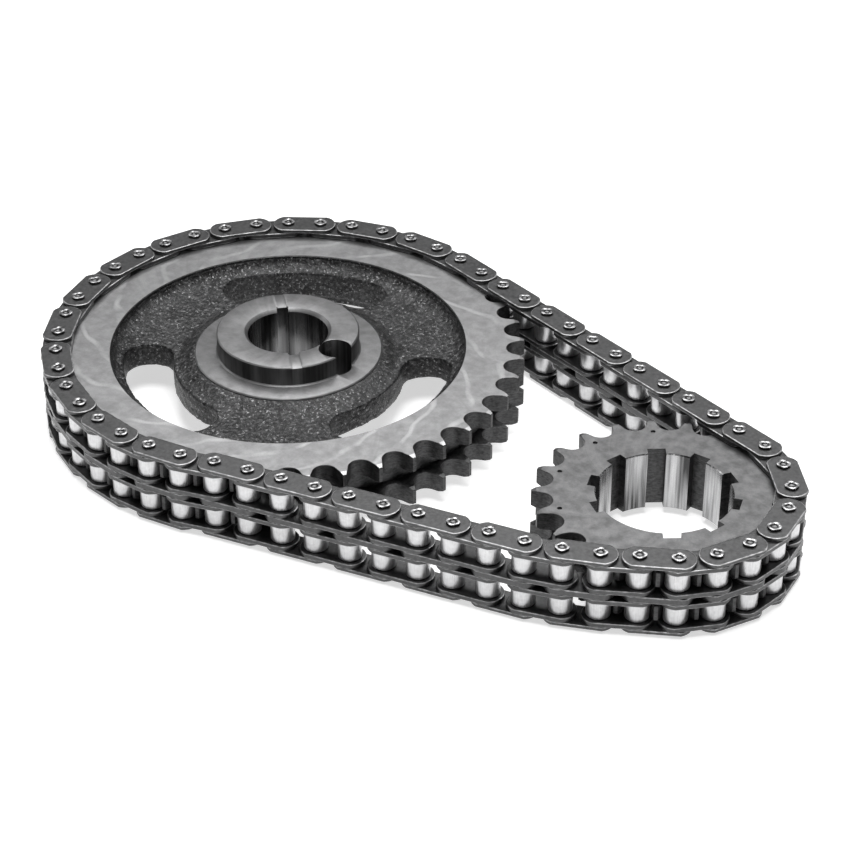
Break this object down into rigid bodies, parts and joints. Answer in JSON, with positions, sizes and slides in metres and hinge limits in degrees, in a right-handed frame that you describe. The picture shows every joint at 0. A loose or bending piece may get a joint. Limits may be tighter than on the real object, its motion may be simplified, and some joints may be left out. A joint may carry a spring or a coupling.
{
  "type": "roller chain drive",
  "caption": "Closed double-row roller chain running round a large windowed camshaft sprocket and a small multi-keyway crankshaft sprocket.",
  "frame": {"origin": "on the camshaft sprocket's bore axis, at the middle plane of the chain, halfway between its two roller rows", "axes": "+Z along the camshaft bore axis, towards the hub nose; +X from the camshaft axis to the crankshaft axis; the taut side of the chain is at +Y and the slack side at -Y"},
  "size_m": [0.226, 0.1357, 0.0235],
  "materials": {
    "cam_sprocket_iron": "turned satin rim and hub, rough as-cast web",
    "crank_sprocket_steel": "satin machined face, broached bore",
    "outer_plate_steel": "smooth dark heat-treated, bright worn edges",
    "inner_plate_steel": "smooth dark heat-treated, bright worn edges",
    "pin_steel": "ground shank, bright riveted heads",
    "bushing_steel": "satin",
    "roller_steel": "bright satin with fine scratches along the axis"
  },
  "bodies": {
    "seated_chain": {"cam_wrap_outer_plates": "outer_plate_steel", "cam_wrap_middle_plates": "outer_plate_steel", "cam_wrap_inner_plates": "inner_plate_steel", "cam_wrap_pins": "pin_steel", "cam_wrap_bushings": "bushing_steel", "cam_wrap_rollers": "roller_steel", "crank_wrap_outer_plates": "outer_plate_steel", "crank_wrap_middle_plates": "outer_plate_steel", "crank_wrap_inner_plates": "inner_plate_steel", "crank_wrap_pins": "pin_steel", "crank_wrap_bushings": "bushing_steel", "crank_wrap_rollers": "roller_steel"},
    "cam_sprocket": {"cam_sprocket": "cam_sprocket_iron"},
    "crank_sprocket": {"crank_sprocket": "crank_sprocket_steel"},
    "taut_link_1": {"taut_link_1_plates": "inner_plate_steel", "taut_link_1_bushings": "bushing_steel"},
    "taut_link_1_cam_end_rollers": {"taut_link_1_cam_end_rollers": "roller_steel"},
    "taut_link_1_crank_end_rollers": {"taut_link_1_crank_end_rollers": "roller_steel"},
    "taut_link_2": {"taut_link_2_plates": "outer_plate_steel", "taut_link_2_pins": "pin_steel"},
    "taut_link_3": {"taut_link_3_plates": "inner_plate_steel", "taut_link_3_bushings": "bushing_steel"},
    "taut_link_3_cam_end_rollers": {"taut_link_3_cam_end_rollers": "roller_steel"},
    "taut_link_3_crank_end_rollers": {"taut_link_3_crank_end_rollers": "roller_steel"},
    "taut_link_4": {"taut_link_4_plates": "outer_plate_steel", "taut_link_4_pins": "pin_steel"},
    "taut_link_5": {"taut_link_5_plates": "inner_plate_steel", "taut_link_5_bushings": "bushing_steel"},
    "taut_link_5_cam_end_rollers": {"taut_link_5_cam_end_rollers": "roller_steel"},
    "taut_link_5_crank_end_rollers": {"taut_link_5_crank_end_rollers": "roller_steel"},
    "taut_link_6": {"taut_link_6_plates": "outer_plate_steel", "taut_link_6_pins": "pin_steel"},
    "taut_link_7": {"taut_link_7_plates": "inner_plate_steel", "taut_link_7_bushings": "bushing_steel"},
    "taut_link_7_cam_end_rollers": {"taut_link_7_cam_end_rollers": "roller_steel"},
    "taut_link_7_crank_end_rollers": {"taut_link_7_crank_end_rollers": "roller_steel"},
    "slack_link_1": {"slack_link_1_plates": "outer_plate_steel", "slack_link_1_pins": "pin_steel"},
    "slack_link_2": {"slack_link_2_plates": "inner_plate_steel", "slack_link_2_bushings": "bushing_steel"},
    "slack_link_2_cam_end_rollers": {"slack_link_2_cam_end_rollers": "roller_steel"},
    "slack_link_2_crank_end_rollers": {"slack_link_2_crank_end_rollers": "roller_steel"},
    "slack_link_3": {"slack_link_3_plates": "outer_plate_steel", "slack_link_3_pins": "pin_steel"},
    "slack_link_4": {"slack_link_4_plates": "inner_plate_steel", "slack_link_4_bushings": "bushing_steel"},
    "slack_link_4_cam_end_rollers": {"slack_link_4_cam_end_rollers": "roller_steel"},
    "slack_link_4_crank_end_rollers": {"slack_link_4_crank_end_rollers": "roller_steel"},
    "slack_link_5": {"slack_link_5_plates": "outer_plate_steel", "slack_link_5_pins": "pin_steel"},
    "slack_link_6": {"slack_link_6_plates": "inner_plate_steel", "slack_link_6_bushings": "bushing_steel"},
    "slack_link_6_cam_end_rollers": {"slack_link_6_cam_end_rollers": "roller_steel"},
    "slack_link_6_crank_end_rollers": {"slack_link_6_crank_end_rollers": "roller_steel"},
    "slack_link_7": {"slack_link_7_plates": "outer_plate_steel", "slack_link_7_pins": "pin_steel"}
  },
  "joints": [
    {"name": "cam_spin", "type": "hinge", "parent": "seated_chain", "child": "cam_sprocket", "pos_m": [0, 0, 0], "axis": [0, 0, 1], "continuous": true, "deforming": ["cam_wrap_pins", "cam_wrap_bushings", "cam_wrap_rollers"]},
    {"name": "crank_spin", "type": "hinge", "parent": "seated_chain", "child": "crank_sprocket", "pos_m": [0.12174, 0, 0], "axis": [0, 0, 1], "continuous": true, "deforming": ["crank_wrap_pins", "crank_wrap_bushings", "crank_wrap_rollers"]},
    {"name": "taut_link_1_bend", "type": "hinge", "parent": "seated_chain", "child": "taut_link_1", "pos_m": [0.04202, 0.05456, 0], "axis": [0, 0, 1], "range_deg": [-6.5, 6.5]},
    {"name": "taut_link_1_cam_end_rollers_spin", "type": "hinge", "parent": "taut_link_1", "child": "taut_link_1_cam_end_rollers", "pos_m": [0.04202, 0.05456, 0], "axis": [0, 0, 1], "continuous": true},
    {"name": "taut_link_1_crank_end_rollers_spin", "type": "hinge", "parent": "taut_link_1", "child": "taut_link_1_crank_end_rollers", "pos_m": [0.05121, 0.05206, 0], "axis": [0, 0, 1], "continuous": true},
    {"name": "taut_link_2_bend", "type": "hinge", "parent": "taut_link_1", "child": "taut_link_2", "pos_m": [0.05121, 0.05206, 0], "axis": [0, 0, 1], "range_deg": [-6.5, 6.5]},
    {"name": "taut_link_3_bend", "type": "hinge", "parent": "taut_link_2", "child": "taut_link_3", "pos_m": [0.0604, 0.04956, 0], "axis": [0, 0, 1], "range_deg": [-6.5, 6.5]},
    {"name": "taut_link_3_cam_end_rollers_spin", "type": "hinge", "parent": "taut_link_3", "child": "taut_link_3_cam_end_rollers", "pos_m": [0.0604, 0.04956, 0], "axis": [0, 0, 1], "continuous": true},
    {"name": "taut_link_3_crank_end_rollers_spin", "type": "hinge", "parent": "taut_link_3", "child": "taut_link_3_crank_end_rollers", "pos_m": [0.06959, 0.04706, 0], "axis": [0, 0, 1], "continuous": true},
    {"name": "taut_link_4_bend", "type": "hinge", "parent": "taut_link_3", "child": "taut_link_4", "pos_m": [0.06959, 0.04706, 0], "axis": [0, 0, 1], "range_deg": [-6.5, 6.5]},
    {"name": "taut_link_5_bend", "type": "hinge", "parent": "taut_link_4", "child": "taut_link_5", "pos_m": [0.07878, 0.04456, 0], "axis": [0, 0, 1], "range_deg": [-6.5, 6.5]},
    {"name": "taut_link_5_cam_end_rollers_spin", "type": "hinge", "parent": "taut_link_5", "child": "taut_link_5_cam_end_rollers", "pos_m": [0.07878, 0.04456, 0], "axis": [0, 0, 1], "continuous": true},
    {"name": "taut_link_5_crank_end_rollers_spin", "type": "hinge", "parent": "taut_link_5", "child": "taut_link_5_crank_end_rollers", "pos_m": [0.08797, 0.04205, 0], "axis": [0, 0, 1], "continuous": true},
    {"name": "taut_link_6_bend", "type": "hinge", "parent": "taut_link_5", "child": "taut_link_6", "pos_m": [0.08797, 0.04205, 0], "axis": [0, 0, 1], "range_deg": [-6.5, 6.5]},
    {"name": "taut_link_7_bend", "type": "hinge", "parent": "taut_link_6", "child": "taut_link_7", "pos_m": [0.09716, 0.03955, 0], "axis": [0, 0, 1], "range_deg": [-6.5, 6.5]},
    {"name": "taut_link_7_cam_end_rollers_spin", "type": "hinge", "parent": "taut_link_7", "child": "taut_link_7_cam_end_rollers", "pos_m": [0.09716, 0.03955, 0], "axis": [0, 0, 1], "continuous": true},
    {"name": "taut_link_7_crank_end_rollers_spin", "type": "hinge", "parent": "taut_link_7", "child": "taut_link_7_crank_end_rollers", "pos_m": [0.10635, 0.03705, 0], "axis": [0, 0, 1], "continuous": true},
    {"name": "slack_link_1_bend", "type": "hinge", "parent": "seated_chain", "child": "slack_link_1", "pos_m": [0.04166, -0.05542, 0], "axis": [0, 0, 1], "range_deg": [-6.5, 6.5]},
    {"name": "slack_link_2_bend", "type": "hinge", "parent": "slack_link_1", "child": "slack_link_2", "pos_m": [0.05097, -0.05341, 0], "axis": [0, 0, 1], "range_deg": [-6.5, 6.5]},
    {"name": "slack_link_2_cam_end_rollers_spin", "type": "hinge", "parent": "slack_link_2", "child": "slack_link_2_cam_end_rollers", "pos_m": [0.05097, -0.05341, 0], "axis": [0, 0, 1], "continuous": true},
    {"name": "slack_link_2_crank_end_rollers_spin", "type": "hinge", "parent": "slack_link_2", "child": "slack_link_2_crank_end_rollers", "pos_m": [0.06028, -0.05141, 0], "axis": [0, 0, 1], "continuous": true},
    {"name": "slack_link_3_bend", "type": "hinge", "parent": "slack_link_2", "child": "slack_link_3", "pos_m": [0.06028, -0.05141, 0], "axis": [0, 0, 1], "range_deg": [-6.5, 6.5]},
    {"name": "slack_link_4_bend", "type": "hinge", "parent": "slack_link_3", "child": "slack_link_4", "pos_m": [0.06959, -0.04941, 0], "axis": [0, 0, 1], "range_deg": [-6.5, 6.5]},
    {"name": "slack_link_4_cam_end_rollers_spin", "type": "hinge", "parent": "slack_link_4", "child": "slack_link_4_cam_end_rollers", "pos_m": [0.06959, -0.04941, 0], "axis": [0, 0, 1], "continuous": true},
    {"name": "slack_link_4_crank_end_rollers_spin", "type": "hinge", "parent": "slack_link_4", "child": "slack_link_4_crank_end_rollers", "pos_m": [0.0789, -0.0474, 0], "axis": [0, 0, 1], "continuous": true},
    {"name": "slack_link_5_bend", "type": "hinge", "parent": "slack_link_4", "child": "slack_link_5", "pos_m": [0.0789, -0.0474, 0], "axis": [0, 0, 1], "range_deg": [-6.5, 6.5]},
    {"name": "slack_link_6_bend", "type": "hinge", "parent": "slack_link_5", "child": "slack_link_6", "pos_m": [0.08821, -0.0454, 0], "axis": [0, 0, 1], "range_deg": [-6.5, 6.5]},
    {"name": "slack_link_6_cam_end_rollers_spin", "type": "hinge", "parent": "slack_link_6", "child": "slack_link_6_cam_end_rollers", "pos_m": [0.08821, -0.0454, 0], "axis": [0, 0, 1], "continuous": true},
    {"name": "slack_link_6_crank_end_rollers_spin", "type": "hinge", "parent": "slack_link_6", "child": "slack_link_6_crank_end_rollers", "pos_m": [0.09753, -0.0434, 0], "axis": [0, 0, 1], "continuous": true},
    {"name": "slack_link_7_bend", "type": "hinge", "parent": "slack_link_6", "child": "slack_link_7", "pos_m": [0.09753, -0.0434, 0], "axis": [0, 0, 1], "range_deg": [-6.5, 6.5]}
  ],
  "couplings": [
    {"joint": "crank_spin", "follows": "cam_spin", "ratio": 2},
    {"joint": "taut_link_2_bend", "follows": "taut_link_1_bend", "ratio": -0.19806},
    {"joint": "taut_link_3_bend", "follows": "taut_link_1_bend", "ratio": -0.3569},
    {"joint": "taut_link_4_bend", "follows": "taut_link_1_bend", "ratio": -0.44504},
    {"joint": "taut_link_5_bend", "follows": "taut_link_1_bend", "ratio": -0.44504},
    {"joint": "taut_link_6_bend", "follows": "taut_link_1_bend", "ratio": -0.3569},
    {"joint": "taut_link_7_bend", "follows": "taut_link_1_bend", "ratio": -0.19806},
    {"joint": "slack_link_2_bend", "follows": "slack_link_1_bend", "ratio": -0.19806},
    {"joint": "slack_link_3_bend", "follows": "slack_link_1_bend", "ratio": -0.3569},
    {"joint": "slack_link_4_bend", "follows": "slack_link_1_bend", "ratio": -0.44504},
    {"joint": "slack_link_5_bend", "follows": "slack_link_1_bend", "ratio": -0.44504},
    {"joint": "slack_link_6_bend", "follows": "slack_link_1_bend", "ratio": -0.3569},
    {"joint": "slack_link_7_bend", "follows": "slack_link_1_bend", "ratio": -0.19806}
  ]
}
